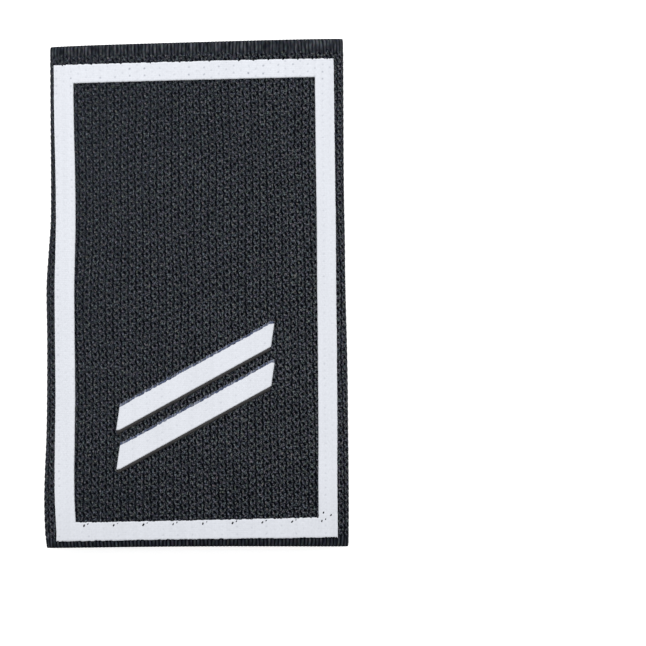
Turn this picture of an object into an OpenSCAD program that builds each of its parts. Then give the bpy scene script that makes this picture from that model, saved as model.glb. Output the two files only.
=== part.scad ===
// Slip-on rank slide: a flat woven tube with a white frame and two white diagonal stripes.
// It lies on its back. +Z points out of the face and +Y along the tube, towards its upper end.
// The origin is the middle of its footprint, on the surface that it lies on.

/* [Sleeve] */
// Length of the tube along its middle
sleeve_length = 95.1; // [80:0.1:110]
// Width of the tube at its widest, over the side folds
sleeve_width = 58; // [50:0.1:66]
// Thickness of the woven cloth
cloth = 1.1; // [1:0.05:1.3]
// Share of the height that lies below the side folds
fold_share = 0.45; // [0.4:0.01:0.5]
// Share of the width over which the underside lies flat
flat_share = 0.5; // [0.3:0.05:0.6]

/* [Border] */
// Margin of black cloth between the frame and each side of the tube
side_margin = 2.425; // [2.2:0.005:6]
// Margin of black cloth above the frame
upper_margin = 3.485; // [2:0.005:8]
// Margin of black cloth below the frame
lower_margin = 1.265; // [1:0.005:8]
// Width of the frame's upright bars
side_bar = 3.68; // [2:0.01:6]
// Width of the frame's two cross bars
cross_bar = 3.58; // [2:0.01:6]

/* [Stripes] */
// Width of the tube that a stripe crosses
stripe_span = 29.2; // [20:0.1:32]
// How far a stripe climbs from its left end to its right end
stripe_climb = 15.65; // [8:0.05:20]
// Depth of a stripe, measured along the tube
stripe_depth = 4.5; // [3:0.05:5.5]
// How far the top of a stripe's end leans to the right
stripe_lean = 0.65; // [0:0.05:1.5]
// Distance from one stripe to the next, measured along the tube
stripe_pitch = 7.4; // [6.5:0.05:9]
// How far the point midway between the stripes lies above the tube's lower end
stripe_rise = 28.2; // [24:0.05:40]

/* [Raised weave] */
// Thickness of the raised white weave
raised = 0.32; // [0.2:0.02:0.6]
// Clearance between the white weave and the black cloth under it
clearance = 0.06; // [0.05:0.01:0.1]

/* [Hidden] */

// One row for each cross-section, from the lower end to the upper end. The columns are:
// percent of the length, how far the left fold and the right fold lie inside the full width,
// how far the section climbs from left to right, how far its middle lies above its sides,
// the height of the tube, and how far the frame's left and right edges stray outwards.
ALONG = 0;
LEFT_IN = 1;
RIGHT_IN = 2;
CLIMB = 3;
BOW = 4;
HEIGHT = 5;
STRAY_LEFT = 6;
STRAY_RIGHT = 7;
SECTIONS = [
    [0, 0.50, 0.15, -0.30, 0.35, 6.65, 0.00, 0.08],
    [3, 0.15, 0.10, 0.62, 0.00, 6.65, -0.03, 0.08],
    [9, 0.00, 0.05, 0.80, 0.00, 6.70, 0.21, 0.07],
    [15, 0.20, 0.05, 0.82, 0.00, 6.70, 0.24, 0.09],
    [22, 0.55, 0.10, 0.84, 0.00, 6.75, 0.11, 0.15],
    [31, 0.75, 0.15, 0.86, 0.00, 6.75, -0.04, 0.16],
    [42, 0.85, 0.30, 0.88, 0.00, 6.80, -0.02, 0.16],
    [52, 0.80, 0.40, 0.92, 0.00, 6.85, -0.03, 0.12],
    [59, 1.25, 0.50, 0.95, 0.00, 6.90, -0.22, 0.13],
    [65, 1.68, 0.55, 0.97, 0.00, 6.95, -0.35, 0.13],
    [74, 1.80, 0.60, 1.00, 0.00, 7.00, -0.34, 0.05],
    [85, 1.78, 0.60, 1.03, 0.00, 7.05, -0.17, 0.01],
    [95, 1.80, 0.58, 1.12, 0.00, 7.10, -0.14, -0.05],
    [100, 1.80, 0.55, 1.25, 0.00, 7.10, -0.14, -0.05]
];

// Shape of the arched face and the curled underside, as powers of the distance from the middle
face_power = 3;
back_power = 2.5;
fold_round = 0.5;
// The same for the hollow inside, which comes to a crease at the side folds
inner_face_power = 3.4;
inner_back_power = 2.8;
inner_round = 0.8;
// How much deeper the cloth is at the crease of a side fold
crease_depth = 0.1;

// Points round a cross-section, sections along the tube, and steps round an end's lip
ring_points = 56;
section_steps = 30;
lip_steps = 4;
// Steps along the frame's upright and cross bars, across a bar or a stripe, and along a stripe
bar_steps = 22;
cross_steps = 20;
across_steps = 3;
stripe_steps = 14;
// Width of the bevel round the raised white weave
bevel = 0.12;

// The slanted ends reach further up than down: this much brings the footprint's middle back to the origin
settle = 0.14;

last_row = len(SECTIONS) - 1;
half_length = sleeve_length / 2;

// The table, read smoothly between its rows
function row_below(along) = min(last_row - 1, max([for (i = [0 : last_row]) if (SECTIONS[i][ALONG] <= along) i]));
function table_slope(column, i) =
    let (before = SECTIONS[max(i - 1, 0)], after = SECTIONS[min(i + 1, last_row)])
    (after[column] - before[column]) / (after[ALONG] - before[ALONG]);
function table(column, v) =
    let (
        along = min(100, max(0, 100 * (v / sleeve_length + 0.5))),
        i = row_below(along),
        step = SECTIONS[i + 1][ALONG] - SECTIONS[i][ALONG],
        t = (along - SECTIONS[i][ALONG]) / step,
        from = SECTIONS[i][column],
        to = SECTIONS[i + 1][column],
        blend = t * t * (3 - 2 * t)
    )
    from + (to - from) * blend
        + step * t * (1 - t) * ((1 - t) * table_slope(column, i) - t * table_slope(column, i + 1));

// The left and right folds, and the middle and half of the width between them, at v along the tube
function left_fold(v) = -sleeve_width / 2 + table(LEFT_IN, v);
function right_fold(v) = sleeve_width / 2 - table(RIGHT_IN, v);
function middle_x(v) = (left_fold(v) + right_fold(v)) / 2;
function half_width(v) = (right_fold(v) - left_fold(v)) / 2;
function fold_height(v) = fold_share * table(HEIGHT, v);

// Where a point of the cloth at x across and v along comes to lie along the tube
function laid_y(x, v) =
    v - settle + table(CLIMB, v) * x / sleeve_width - table(BOW, v) * pow(2 * x / sleeve_width, 2);

// Share of the full height that is left at a share of the half width
function dome(share, flat, power, roundness) =
    pow(max(0, 1 - pow(max(0, abs(share) - flat) / (1 - flat), power)), roundness);

// A point of the tube's outer surface, and one of its inner surface, at an angle round the section
function outer_point(v, angle) =
    let (
        share = cos(angle),
        x = middle_x(v) + share * half_width(v),
        above = sin(angle) >= 0,
        rise = (table(HEIGHT, v) - fold_height(v)) * dome(share, 0, face_power, fold_round),
        drop = fold_height(v) * dome(share, flat_share, back_power, fold_round)
    )
    [x, laid_y(x, v), fold_height(v) + (above ? rise : -drop)];
function inner_point(v, angle) =
    let (
        share = cos(angle),
        x = middle_x(v) + share * (half_width(v) - cloth - crease_depth),
        above = sin(angle) >= 0,
        rise = (table(HEIGHT, v) - fold_height(v) - cloth) * dome(share, 0, inner_face_power, inner_round),
        drop = (fold_height(v) - cloth) * dome(share, flat_share, inner_back_power, inner_round)
    )
    [x, laid_y(x, v), fold_height(v) + (above ? rise : -drop)];
function wall_ring(v, depth, push) =
    [for (k = [0 : ring_points - 1])
        let (angle = 360 * k / ring_points)
        outer_point(v, angle) * (1 - depth) + inner_point(v, angle) * depth + [0, push, 0]];

// Height of the face at x across and v along, and a point that lies over the face by lift
function face_z(x, v) =
    fold_height(v) + (table(HEIGHT, v) - fold_height(v))
        * dome((x - middle_x(v)) / half_width(v), 0, face_power, fold_round);
function over_face(x, v, lift) = [x, laid_y(x, v), face_z(x, v) + lift];

// A solid through rings of points: closed joins the last ring to the first, or else the ends are capped
module loft(rings, closed) {
    count = len(rings);
    size = len(rings[0]);
    spans = closed ? count : count - 1;
    sides = [for (i = [0 : spans - 1], k = [0 : size - 1])
        let (a = i * size, b = ((i + 1) % count) * size, n = (k + 1) % size)
        each [[a + k, b + k, b + n], [a + k, b + n, a + n]]];
    caps = closed ? [] : [
        [for (k = [0 : size - 1]) k],
        [for (k = [size - 1 : -1 : 0]) (count - 1) * size + k]
    ];
    polyhedron(points = [for (ring = rings) each ring], faces = concat(sides, caps));
}

// The woven tube: out along its outer surface, round the upper lip, back inside, round the lower lip
module sleeve() {
    lip = cloth / 2;
    inset = half_length - lip;
    outside = [for (i = [0 : section_steps]) wall_ring(-inset + 2 * inset * i / section_steps, 0, 0)];
    upper_lip = [for (i = [1 : lip_steps - 1])
        let (turn = 180 * i / lip_steps)
        wall_ring(inset, (1 - cos(turn)) / 2, lip * sin(turn))];
    inside = [for (i = [section_steps : -1 : 0]) wall_ring(-inset + 2 * inset * i / section_steps, 1, 0)];
    lower_lip = [for (i = [1 : lip_steps - 1])
        let (turn = 180 * i / lip_steps)
        wall_ring(-inset, (1 + cos(turn)) / 2, -lip * sin(turn))];
    color([0.13, 0.14, 0.16])
        loft(concat(outside, upper_lip, inside, lower_lip), true);
}

// The edges of the white frame: inset 0 is its outer edge and 1 its inner edge
function frame_left(v, inset) = -sleeve_width / 2 + side_margin - table(STRAY_LEFT, v) + inset * side_bar;
function frame_right(v, inset) = sleeve_width / 2 - side_margin + table(STRAY_RIGHT, v) - inset * side_bar;
function frame_low(inset) = -half_length + lower_margin + inset * cross_bar;
function frame_high(inset) = half_length - upper_margin - inset * cross_bar;
// Share of the way along a cross bar: the steps are shorter near its ends, where the face curves more
function cross_share(i) = (1 - cos(180 * i / cross_steps)) / 2;
function frame_ring(inset, lift) =
    let (low = frame_low(inset), high = frame_high(inset))
    concat(
        [for (i = [0 : cross_steps - 1])
            let (t = cross_share(i))
            over_face(frame_left(low, inset) * (1 - t) + frame_right(low, inset) * t, low, lift)],
        [for (i = [0 : bar_steps - 1])
            let (v = low + (high - low) * i / bar_steps)
            over_face(frame_right(v, inset), v, lift)],
        [for (i = [0 : cross_steps - 1])
            let (t = cross_share(i))
            over_face(frame_right(high, inset) * (1 - t) + frame_left(high, inset) * t, high, lift)],
        [for (i = [0 : bar_steps - 1])
            let (v = high + (low - high) * i / bar_steps)
            over_face(frame_left(v, inset), v, lift)]
    );

// The profile of a raised band, as [share of its width, lift], from its outer edge over the top and back under
function band_profile(width) =
    let (edge = bevel / width, top = clearance + raised)
    concat(
        [[0, clearance], [0, top - bevel], [edge, top]],
        [for (i = [1 : across_steps - 1]) [i / across_steps, top]],
        [[1 - edge, top], [1, top - bevel], [1, clearance]],
        [for (i = [across_steps - 1 : -1 : 1]) [i / across_steps, clearance]]
    );

module border() {
    color([0.93, 0.94, 0.96])
        loft([for (p = band_profile(side_bar)) frame_ring(p[0], p[1])], true);
}

// A stripe whose middle lies at v along the tube
module stripe(v) {
    color([0.93, 0.94, 0.96])
        loft([for (i = [0 : stripe_steps])
            let (t = i / stripe_steps - 0.5)
            [for (p = band_profile(stripe_depth))
                let (
                    up = 0.5 - p[0],
                    x = t * stripe_span + up * stripe_lean,
                    along = v + t * stripe_climb + up * stripe_depth
                )
                over_face(x, along, p[1])]], false);
}
module upper_stripe() {
    stripe(-half_length + stripe_rise + stripe_pitch / 2);
}
module lower_stripe() {
    stripe(-half_length + stripe_rise - stripe_pitch / 2);
}

sleeve();
border();
upper_stripe();
lower_stripe();
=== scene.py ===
# A slip-on rank slide: a flat tube of black bird's-eye weave with a white frame and two white
# stripes woven into its face. It lies on its back on a pale floor, under soft light.
import math

import bpy
import numpy as np
from bpy.props import FloatProperty, FloatVectorProperty, IntProperty, PointerProperty
from bpy.types import Operator, Panel, PropertyGroup
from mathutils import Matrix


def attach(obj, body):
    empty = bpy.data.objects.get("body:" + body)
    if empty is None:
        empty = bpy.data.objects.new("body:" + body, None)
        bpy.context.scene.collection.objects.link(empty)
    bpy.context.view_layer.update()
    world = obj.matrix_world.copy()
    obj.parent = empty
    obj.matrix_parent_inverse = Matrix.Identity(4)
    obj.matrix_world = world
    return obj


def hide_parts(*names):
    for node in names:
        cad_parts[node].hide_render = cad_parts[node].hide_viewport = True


bl_info = {
    "name": "Woven Rank Slide",
    "version": (1, 0, 0),
    "blender": (4, 5, 0),
    "location": "View3D > Sidebar > Rank Slide",
    "description": "Weaves a slip-on rank slide with a white frame and two diagonal stripes",
    "category": "Object",
}

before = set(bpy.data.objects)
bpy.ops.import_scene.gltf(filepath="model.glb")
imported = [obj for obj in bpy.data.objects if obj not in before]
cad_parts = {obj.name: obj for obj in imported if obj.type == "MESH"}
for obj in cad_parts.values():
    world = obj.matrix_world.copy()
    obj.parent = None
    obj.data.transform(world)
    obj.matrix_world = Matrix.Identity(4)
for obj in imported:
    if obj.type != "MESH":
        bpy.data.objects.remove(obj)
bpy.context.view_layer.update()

MM = 0.001

# One row for each cross-section of the tube, from its lower end to its upper end. The columns are:
# percent of the length, then in millimetres how far the left fold and the right fold lie inside the
# full width, how far the section climbs from left to right, how far its middle lies above its sides,
# the height of the tube, and how far the frame's left and right edges stray outwards.
ALONG, LEFT_IN, RIGHT_IN, CLIMB, BOW, HEIGHT, STRAY_LEFT, STRAY_RIGHT = range(8)
SECTIONS = [
    [0, 0.50, 0.15, -0.30, 0.35, 6.65, 0.00, 0.08],
    [3, 0.15, 0.10, 0.62, 0.00, 6.65, -0.03, 0.08],
    [9, 0.00, 0.05, 0.80, 0.00, 6.70, 0.21, 0.07],
    [15, 0.20, 0.05, 0.82, 0.00, 6.70, 0.24, 0.09],
    [22, 0.55, 0.10, 0.84, 0.00, 6.75, 0.11, 0.15],
    [31, 0.75, 0.15, 0.86, 0.00, 6.75, -0.04, 0.16],
    [42, 0.85, 0.30, 0.88, 0.00, 6.80, -0.02, 0.16],
    [52, 0.80, 0.40, 0.92, 0.00, 6.85, -0.03, 0.12],
    [59, 1.25, 0.50, 0.95, 0.00, 6.90, -0.22, 0.13],
    [65, 1.68, 0.55, 0.97, 0.00, 6.95, -0.35, 0.13],
    [74, 1.80, 0.60, 1.00, 0.00, 7.00, -0.34, 0.05],
    [85, 1.78, 0.60, 1.03, 0.00, 7.05, -0.17, 0.01],
    [95, 1.80, 0.58, 1.12, 0.00, 7.10, -0.14, -0.05],
    [100, 1.80, 0.55, 1.25, 0.00, 7.10, -0.14, -0.05],
]

# Shape of the arched face and the curled underside, as powers of the distance from the middle
FACE_POWER = 3
BACK_POWER = 2.5
FOLD_ROUND = 0.5
INNER_FACE_POWER = 3.4
INNER_BACK_POWER = 2.8
INNER_ROUND = 0.8
# Height of the side folds as a share of the tube's, and how much of the underside lies flat
FOLD_SHARE = 0.45
FLAT_SHARE = 0.5
# How much thicker the cloth is at the side folds, and how far the tube lies towards its lower end
CREASE_DEPTH = 0.1 * MM
SETTLE = 0.14 * MM
# How high the face's ripple is, and how much further out the frame's right edge lies than in the table
RIPPLE_HEIGHT = 0.07 * MM
RIGHT_SHIFT = 0.07 * MM
# How finely a section is measured, in angles
FINE_ANGLES = 2401

# The weave: an even number of columns of loops goes round the tube, and every second column is
# staggered by half a loop. Half of the columns lie on the face, from side fold to side fold.
COLUMNS_ROUND = 84
FACE_COLUMNS = 21
# Points of the mesh for each column across the face and across the underside, and for each loop along
FACE_ACROSS = 6
BACK_ACROSS = 3
FACE_ALONG = 4
# A UV unit is this many loops, so that the outer and the inner surface fit side by side, and the
# face's middle lies this many loops in
UV_LOOPS = 176
UV_MIDDLE = 44

# The bird's-eye weave, in shares of a loop, with along counted towards the upper end. Each loop is an
# oval round a dark pit, and the grooves between the columns of loops swing round the ovals. The white
# weave has a dot instead. A spot such as a pit or a dot is its centre across and along, its half width
# and half length, and its turn in degrees; it fades out at SPOT_REACH times its half size.
PIT = (0.5, 0.0, 0.18, 0.27, 35)
DOT = (0.5, 0.5, 0.19, 0.19, 0)
SPOT_REACH = 1.15
ORIGIN = (0, 0, 0)
GROOVE_SWING = 0.09
GROOVE_BED = 0.03
GROOVE_EDGE = 0.20
# Where along its loop the groove on a column's left side is deepest. From there its depth follows a
# wave, whose height and middle are given, and from place to place a noise: two of its values, and the
# depths that they give.
GROOVE_DEEPEST = 0.78
GROOVE_WAVE = (0.36, 0.78)
GROOVE_NOISE = (0.38, 0.58, 0.30, 1.1)
# Where the threads of a loop stand up, at its left shoulder, its right arm and its foot: the spot and how
# much it adds to the height and the tone. The added tone is painted highlight where the threads catch the
# light, and partly the threads' own uneven tone.
CROWNS = [
    (0.25, 0.74, 0.14, 0.17, 12, 1.0),
    (0.85, 0.62, 0.09, 0.36, -6, 0.6),
    (0.50, 0.42, 0.18, 0.12, 0, 0.4),
]

# How far threads wander from their places, and spots from theirs, in loops across and along
THREAD_STRAY = (0.18, 0.62, 0)
SPOT_STRAY = (0.07, 0.09, 0)
# How many patches of fibre go to a loop
BLACK_FINENESS = 6.6
WHITE_FINENESS = 4.0

# The height and the tone of the black threads, and what makes the tone uneven: what a crown, or a noise
# between 0 and 1, is multiplied by, and what is then added
THREAD_HEIGHT = (0.4, 0.6)
THREAD_TONE = (0.38, 0.47)
# CROWN_LUCK gives the painted highlights on the crowns a random strength from loop to loop
CROWN_LUCK = (2.9, 0.2)
# PIT_LUCK sets the painted shade in the pits, stronger in some loops than in others
PIT_LUCK = (0.5, 0.7)
GRAIN = (5.2, -1.63)
RIB_GRAIN = (2.6, -0.3)
STREAKS = (0.25, 0.875)
MOTTLE = (0.15, 0.925)
# Contrast and base tone of the ribs, at the lower end and elsewhere, and over how many loops they change
RIB_CONTRAST = (0.74, 0.40)
RIB_BASE = (-0.26, 0.12)
RIB_CHANGE = 4.0
# Painted shade: how dark the turned-in lips are, where they curve away from the light, and the cloth at its
# lower end, where the light is weaker, and over how many loops it gets light
LIP_PAINTED_SHADE = 0.62
LOW_PAINTED_SHADE = 0.91
LOW_CHANGE = 16.0

# How much longer the upper ribbed band is at its right, and over how far the weave turns into ribs
HEM_GROWTH = 0.7 * MM
HEM_BLEND = 0.5 * MM

# How far the crowns of the black weave stand above the tube's form
CROWN_LIFT = 0.08 * MM
# How deep the black cloth lies under the white weave, and how wide the way down to it is
COVERED_DEPTH = 0.16 * MM
COVER_BLEND = 0.15 * MM
# How far the lips reach past the form, and how square they are pressed at the side folds
UPPER_REACH = 0.06 * MM
LOWER_REACH = 0.24 * MM
SQUARE_LIPS = 0.8

# The white weave: steps of its mesh to a column, how far its edges reach down into the cloth, how far
# its top falls there and over which width, also at a stripe's ends
WHITE_STEPS = 10
WHITE_ROOT = -0.05 * MM
EDGE_FALL = 0.2 * MM
EDGE_ROUND = 0.22 * MM
END_ROUND = 0.28 * MM
# Radius of its dots' hollows in loops, their depth and that of the hollows between its threads
DOT_REACH = 0.2
DOT_DEPTH = 0.05 * MM
PUFF_DEPTH = 0.012 * MM
# How ragged its edges are: in millimetres the frame's lower, right, upper and left edges, first the
# outer ones and then the inner ones, then a stripe's edges, and how far into the weave this reaches,
# there and from a stripe's upper edge
RAGGED = [(0.08, 0.03, 0.07, 0.02), (0.075, 0.02, 0.03, 0.02)]
RAGGED_STRIPE = 0.06 * MM
RAGGED_REACH = 0.5 * MM
RAGGED_TOP_REACH = 0.3 * MM

# Gaps between the white threads' ends, which bite into the frame's upper edge: where the first one
# lies across, the step from one to the next, their depth and half width. Right of NOTCH_MIDDLE there
# is one more between each two.
FIRST_NOTCH = -24.77 * MM
NOTCH_STEP = 5.575 * MM
NOTCH_DEPTH = 0.26 * MM
NOTCH_HALF_WIDTH = 0.24 * MM
NOTCH_MIDDLE = 9 * MM

# How much further in the outer edge of the frame's upper bar and of its lower bar lies at the right
# than at the left
UPPER_TAPER = 0.11 * MM
LOWER_TAPER = 0.24 * MM

# Dark ties on the frame's lower bar: where the first one lies across, the step from one to the next,
# how many there are and how far they lie below the bar's upper edge
FIRST_TIE = -21.23 * MM
TIE_STEP = 5.62 * MM
TIE_COUNT = 9
TIE_INSET = 0.65 * MM
TIE_RADIUS = 0.24 * MM
TIE_SIZES = (0.7, 1.1)
# The smaller second knot of a tie: its place across and along, and its share of the first one's size
SECOND_KNOT = (0.72 * MM, 0.32 * MM, 0.62)
# Single knots in the lower right corner, as places across and along
CORNER_KNOTS = [(24.05 * MM, -41.88 * MM), (25.46 * MM, -42.40 * MM)]

# The frayed threads along a stripe's upper edge: the least that they reach out, how much further a
# thread of full length does, and their profile, as shares of the white weave's height and of their
# length. The most that a thread is white instead of grey-blue.
FRINGE_ROOT = 0.34 * MM
FRINGE_TEETH = 0.36 * MM
FRINGE_PROFILE = [(0.90, 0.12), (0.85, 0.55), (0.60, 0.90)]
FRAY_LIGHT = 0.32

# How crisp the black weave shows in the middle of the tube, and how that changes with each metre to the
# right and towards the upper end: the contrast of its tone, painted highlights and painted shade in the
# pits included, grows towards the lower right. The tone that stays the same at any crispness.
CRISP_IN_MIDDLE = 1.18
CRISP_TO_RIGHT = 12.5
CRISP_TO_TOP = -5.5
MEAN_TONE = 0.46

# How far the pointed corners of a stripe are worn off, and how far along the stripe
TIP_ROUND = 0.30 * MM
TIP_LENGTH = 0.9 * MM

# The smooth dark thread under each stripe: its radius, how far its middle lies below the stripe's
# edge and above the cloth, and how many places it is laid through
EDGE_THREAD_RADIUS = 0.32 * MM
EDGE_THREAD_BELOW = 0.28 * MM
EDGE_THREAD_LIFT = -0.02 * MM
EDGE_THREAD_PLACES = 40


def length(name, description, default):
    """A size that the panel offers, in metres."""
    return FloatProperty(name=name, description=description, default=default, precision=6, unit="LENGTH")


def tint(name, description, *default):
    """A colour that the panel offers."""
    return FloatVectorProperty(name=name, description=description, default=default, size=3, subtype="COLOR")


class SlideSizes(PropertyGroup):
    """Sizes of the tube and of the white weave on it."""

    sleeve_length: length("Sleeve Length", "Length of the tube along its middle", 0.0951)
    sleeve_width: length("Sleeve Width", "Width of the tube over its side folds", 0.058)
    cloth: length("Cloth", "Thickness of the woven cloth", 0.0011)
    side_margin: length("Side Margin", "Black cloth between the frame and a side of the tube", 0.002425)
    upper_margin: length("Upper Margin", "Black cloth above the frame", 0.003575)
    lower_margin: length("Lower Margin", "Black cloth below the frame", 0.001195)
    left_bar: length("Left Bar", "Width of the frame's left bar", 0.00378)
    right_bar: length("Right Bar", "Width of the frame's right bar", 0.0036)
    cross_bar: length("Cross Bar", "Width of the frame's cross bars", 0.00358)
    stripe_span: length("Stripe Span", "Width of the tube that a stripe crosses", 0.02938)
    stripe_climb: length("Stripe Climb", "How far a stripe climbs from left to right", 0.01544)
    stripe_depth: length("Stripe Depth", "Depth of a stripe, measured along the tube", 0.00464)
    stripe_lean: length("Stripe Lean", "How far the top of a stripe's end leans to the right", 0.00065)
    stripe_pitch: length("Stripe Pitch", "Distance between the stripes, measured along the tube", 0.0074)
    stripe_rise: length("Stripe Rise", "Height of the stripes' middle above the lower end", 0.02813)
    raised: length("Raised", "How far the white weave stands proud of the black cloth", 0.00038)


class WeaveSizes(PropertyGroup):
    """Sizes of the black weave's loops, ribs and hems."""

    loop_across: length("Loop Width", "Distance from one column of loops to the next", 0.0014)
    loop_along: length("Loop Length", "Distance from one loop to the next in its column", 0.00138)
    pit_depth: length("Pit Depth", "How deep the pits between the loops are", 0.00024)
    rib_depth: length("Rib Depth", "How deep the grooves between the end ribs are", 0.00013)
    upper_hem: length("Upper Hem", "Length of the ribbed band at the upper end, at its left", 0.0018)
    lower_hem: length("Lower Hem", "Length of the ribbed band at the lower end", 0.0015)
    wander: FloatProperty(
        name="Wander", description="How far the columns stray from straight, in loops",
        default=0.10,
    )
    seed: IntProperty(
        name="Seed", description="Start of every random draw",
        default=7,
    )


class SlideColours(PropertyGroup):
    """Colours of the weave and of the floor."""

    # pit and shade darken the black cloth as painted shade in the gaps and on the low threads, over its own
    # black
    pit: tint("Pit", "Deep gaps between the black threads", 0.0006, 0.0010, 0.0024)
    shade: tint("Shade", "Black threads that lie low", 0.0066, 0.0084, 0.0128)
    thread: tint("Thread", "Black threads that lie high", 0.030, 0.034, 0.041)
    # glint is the painted highlight on the crowns, and partly the threads' own uneven tone
    glint: tint("Glint", "The few brightest threads", 0.132, 0.140, 0.153)
    white: tint("White", "White weave", 0.735, 0.757, 0.811)
    dot: tint("Dot", "Dark tie points in the white weave", 0.16, 0.18, 0.24)
    fray: tint("Fray", "Grey-blue frayed threads along the stripes' upper edges", 0.052, 0.066, 0.116)
    piping: tint("Piping", "Smooth dark thread under the stripes", 0.043, 0.041, 0.041)
    floor: tint("Floor", "Pale floor", 0.96, 0.96, 0.96)


def smoothstep(value):
    """A smooth step from 0 to 1 as value goes from 0 to 1."""
    t = np.clip(value, 0, 1)
    return t * t * (3 - 2 * t)


def dome(share, flat, power, roundness):
    """Share of the full height that is left at a share of the half width."""
    past = np.maximum(0, np.abs(share) - flat) / (1 - flat)
    return np.maximum(0, 1 - past ** power) ** roundness


def soft_waves(seed, count, reach):
    """A smooth random field of two numbers, as a few sine waves; its first number repeats with period 1."""
    draw = np.random.default_rng(seed)
    turns = draw.integers(1, reach, count)
    slants = draw.uniform(-reach, reach, count)
    starts = draw.uniform(0, 2 * math.pi, count)
    sizes = draw.uniform(0.5, 1, count) / math.sqrt(count)

    def field(across, along):
        total = 0
        for turn, slant, start, size in zip(turns, slants, starts, sizes):
            total = total + size * np.sin(2 * math.pi * (turn * across + slant * along) + start)
        return total

    return field


class TubeForm:
    """The tube as it lies, as formulas. x runs across and v along the cloth, in metres."""

    def __init__(self, scene):
        self.sizes = scene.slide_sizes
        self.weave = scene.weave_sizes
        self.rows = np.array(SECTIONS)
        self.half_length = self.sizes.sleeve_length / 2
        self.sway = soft_waves(self.weave.seed, 6, 5)
        self.slip = soft_waves(self.weave.seed + 1, 6, 5)
        self.ripple = soft_waves(self.weave.seed + 2, 9, 8)

    def column(self, name, v):
        """A column of the table at v, read smoothly between its rows."""
        at = self.rows[:, ALONG]
        value = self.rows[:, name]
        last = len(at) - 1
        along = np.clip(100 * (v / self.sizes.sleeve_length + 0.5), 0, 100)
        i = np.clip(np.searchsorted(at, along, side="right") - 1, 0, last - 1)
        before = np.maximum(np.arange(last + 1) - 1, 0)
        after = np.minimum(np.arange(last + 1) + 1, last)
        slope = (value[after] - value[before]) / (at[after] - at[before])
        step = at[i + 1] - at[i]
        t = (along - at[i]) / step
        bend = step * t * (1 - t) * ((1 - t) * slope[i] - t * slope[i + 1])
        return MM * (value[i] + (value[i + 1] - value[i]) * smoothstep(t) + bend)

    def middle_x(self, v):
        return (self.column(LEFT_IN, v) - self.column(RIGHT_IN, v)) / 2

    def half_width(self, v):
        return (self.sizes.sleeve_width - self.column(LEFT_IN, v) - self.column(RIGHT_IN, v)) / 2

    def fold_height(self, v):
        return FOLD_SHARE * self.column(HEIGHT, v)

    def laid_y(self, x, v):
        """Where a point of the cloth comes to lie along the tube."""
        width = self.sizes.sleeve_width
        climb = self.column(CLIMB, v) * x / width
        return v - SETTLE + climb - self.column(BOW, v) * (2 * x / width) ** 2

    def surface(self, v, angle, cloth, crease, face_power, back_power, roundness):
        """Points of a surface that lies inside the outer one by cloth, at angles round the section."""
        share = np.cos(angle)
        x = self.middle_x(v) + share * (self.half_width(v) - cloth - crease)
        fold = self.fold_height(v)
        rise = (self.column(HEIGHT, v) - fold - cloth) * dome(share, 0, face_power, roundness)
        drop = (fold - cloth) * dome(share, FLAT_SHARE, back_power, roundness)
        z = fold + np.where(np.sin(angle) >= 0, rise, -drop)
        return np.stack([x, self.laid_y(x, v), z], -1)

    def outer(self, v, angle):
        return self.surface(v, angle, 0, 0, FACE_POWER, BACK_POWER, FOLD_ROUND)

    def inner(self, v, angle):
        shape = (CREASE_DEPTH, INNER_FACE_POWER, INNER_BACK_POWER, INNER_ROUND)
        return self.surface(v, angle, self.sizes.cloth, *shape)

    def over_face(self, x, v, lift):
        """Points that lie over the face by lift."""
        fold = self.fold_height(v)
        share = (x - self.middle_x(v)) / self.half_width(v)
        rise = (self.column(HEIGHT, v) - fold) * dome(share, 0, FACE_POWER, FOLD_ROUND)
        z = fold + rise + lift + self.unevenness(x, v)
        return np.stack([x, self.laid_y(x, v), z], -1)

    def unevenness(self, x, v):
        """The slight ripple of the face, which dies away towards the side folds and the ends."""
        inside = 1 - (2 * x / self.sizes.sleeve_width) ** 4
        inside = inside * (1 - (v / self.half_length) ** 12)
        reach = self.sizes.sleeve_length
        return RIPPLE_HEIGHT * np.maximum(0, inside) * self.ripple(x / reach, v / reach)

    def angles(self, v, columns):
        """Angles of the section at v where the columns of loops run, counted from the face's middle."""
        start = math.acos(-self.middle_x(v) / self.half_width(v))
        fine = start - np.linspace(-math.pi, math.pi, FINE_ANGLES)
        points = self.outer(np.full(fine.shape, v), fine)
        lengths = np.concatenate([[0], np.cumsum(np.linalg.norm(np.diff(points[:, ::2], axis=0), axis=1))])
        round_length = lengths[-1]
        middle = np.interp(-start, -fine, lengths)
        wanted = (middle + columns / COLUMNS_ROUND * round_length) % round_length
        return np.interp(wanted, lengths, fine)

    def frame_left(self, v, inset):
        margin = self.sizes.side_margin - self.column(STRAY_LEFT, v)
        return -self.sizes.sleeve_width / 2 + margin + inset

    def frame_right(self, v, inset):
        margin = self.sizes.side_margin - self.column(STRAY_RIGHT, v) - RIGHT_SHIFT
        return self.sizes.sleeve_width / 2 - margin - inset

    def frame_low(self, inset):
        return -self.half_length + self.sizes.lower_margin + inset

    def frame_high(self, inset):
        return self.half_length - self.sizes.upper_margin - inset

    def bars(self, share):
        """Widths of the frame's left, right and cross bars, up to a share of the way in."""
        sizes = self.sizes
        return share * sizes.left_bar, share * sizes.right_bar, share * sizes.cross_bar

    def inside_ring(self, x, v, share):
        """How far places lie inside the ring that runs a share of the way into the frame."""
        left, right, cross = self.bars(share)
        return np.minimum.reduce([
            x - self.frame_left(v, left), self.frame_right(v, right) - x,
            v - self.frame_low(cross), self.frame_high(cross) - v,
        ])

    def stripe_middles(self):
        """Where the middles of the upper and the lower stripe lie along the tube."""
        middle = -self.half_length + self.sizes.stripe_rise
        return (middle + self.sizes.stripe_pitch / 2, middle - self.sizes.stripe_pitch / 2)

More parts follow.
